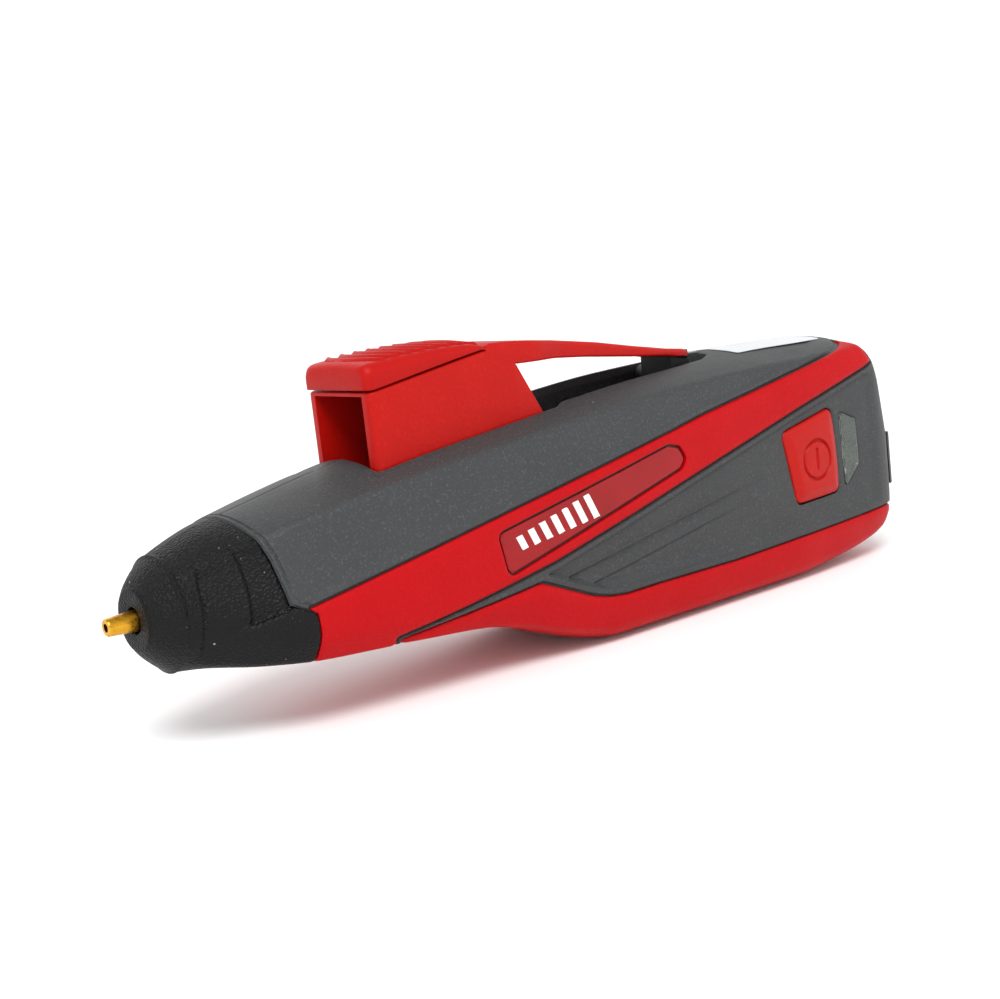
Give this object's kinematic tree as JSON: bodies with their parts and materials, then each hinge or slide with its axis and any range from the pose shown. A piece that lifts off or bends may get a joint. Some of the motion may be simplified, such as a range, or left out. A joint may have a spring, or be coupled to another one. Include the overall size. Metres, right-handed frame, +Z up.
{
  "type": "cordless glue gun",
  "caption": "Pen-shaped cordless glue gun with a pointed nozzle, a top feed lever, a side switch, soft red grips and a rear inlet for thin glue sticks.",
  "frame": {"origin": "centre of the bounding box in plan, on the plane of the flat belly", "axes": "nozzle points to -X, rear inlet to +X, the side switch is on -Y, +Z is up from the belly"},
  "size_m": [0.1956, 0.0438, 0.066],
  "materials": {
    "shell_grey": "fine moulded grain",
    "soft_red": "soft overmould with a fine grain",
    "lever_red": "satin moulded plastic",
    "cap_red": "satin soft pad with cross ribs",
    "button_red": "satin moulded plastic",
    "badge_red": "clear glossy plate",
    "nose_black": "matte heat-resistant silicone",
    "label_white": "plain film label",
    "brass": "turned, heat-stained",
    "chamber_alloy": "turned",
    "ceramic": "fired",
    "spring_steel": "rolled strip and wire",
    "pin_steel": "ground",
    "collar_brown": "heat-resistant phenolic",
    "sleeve_silicone": "silicone",
    "frame_black": "glass-filled nylon",
    "inner_white": "natural acetal",
    "cell_wrap": "shrink film",
    "nickel": "nickel strip",
    "board_green": "solder mask",
    "chip_black": "moulded epoxy",
    "led_clear": "clear epoxy",
    "window_clear": "clear moulded plastic",
    "lead_red": "insulated wire",
    "cover_black": "soft moulded rubber"
  },
  "bodies": {
    "housing": {"housing_left": "shell_grey", "housing_right": "shell_grey", "nose_sleeve": "nose_black", "side_band_left": "soft_red", "side_band_right": "soft_red", "belly_grip_left": "soft_red", "belly_grip_right": "soft_red", "badge_left": "badge_red", "badge_right": "badge_red", "rating_label": "label_white", "nozzle": "brass", "melt_chamber": "chamber_alloy", "heater_plate": "ceramic", "heater_clip": "spring_steel", "thermostat": "ceramic", "chamber_collars": "collar_brown", "inlet_sleeve": "sleeve_silicone", "feed_frame": "frame_black", "rocker_pin": "pin_steel", "guide_tube": "inner_white", "inlet_ring": "frame_black", "battery_cell": "cell_wrap", "battery_tabs": "nickel", "circuit_board": "board_green", "board_chips": "chip_black", "tact_switch": "chip_black", "status_led": "led_clear", "light_window": "window_clear", "charge_socket": "nickel", "heater_leads": "lead_red", "housing_screws": "pin_steel", "lever_pin": "pin_steel"},
    "lever": {"lever": "lever_red", "lever_cap": "cap_red"},
    "feed_rocker": {"feed_rocker": "inner_white", "rocker_roller": "pin_steel"},
    "feed_carriage": {"feed_carriage": "inner_white", "jaw_pin": "pin_steel", "return_spring": "spring_steel"},
    "gripper_jaw": {"gripper_jaw": "spring_steel"},
    "power_button": {"power_button": "button_red"},
    "dust_cover": {"dust_cover": "cover_black"}
  },
  "joints": [
    {"name": "lever_press", "type": "hinge", "parent": "housing", "child": "lever", "pos_m": [0.0432, 0, 0.049], "axis": [0, -1, 0], "range_deg": [0, 7.5], "stiffness_Nm_per_rad": 2, "springref_deg": -6.88},
    {"name": "rocker_swing", "type": "hinge", "parent": "housing", "child": "feed_rocker", "pos_m": [-0.0238, 0, 0.0355], "axis": [0, 1, 0], "range_deg": [0, 21.4]},
    {"name": "carriage_slide", "type": "slide", "parent": "housing", "child": "feed_carriage", "axis": [-1, 0, 0], "range_m": [0, 0.0061], "deforming": ["return_spring"]},
    {"name": "jaw_bite", "type": "hinge", "parent": "feed_carriage", "child": "gripper_jaw", "pos_m": [-0.0088, 0, 0.0327], "axis": [0, -1, 0], "range_deg": [0, 4.8]},
    {"name": "button_press", "type": "slide", "parent": "housing", "child": "power_button", "axis": [0, 1, 0], "range_m": [0, 0.0005], "stiffness_N_per_m": 250, "springref_m": -0.0005},
    {"name": "dust_cover_hinge", "type": "hinge", "parent": "housing", "child": "dust_cover", "pos_m": [0.0968, -0.007, 0.0218], "axis": [0, 0, 1], "range_deg": [0, 100]}
  ],
  "couplings": [
    {"joint": "rocker_swing", "follows": "lever_press", "ratio": 2.8267},
    {"joint": "carriage_slide", "follows": "lever_press", "m_per_rad": 0.04576},
    {"joint": "jaw_bite", "follows": "lever_press", "ratio": 0.6133}
  ]
}
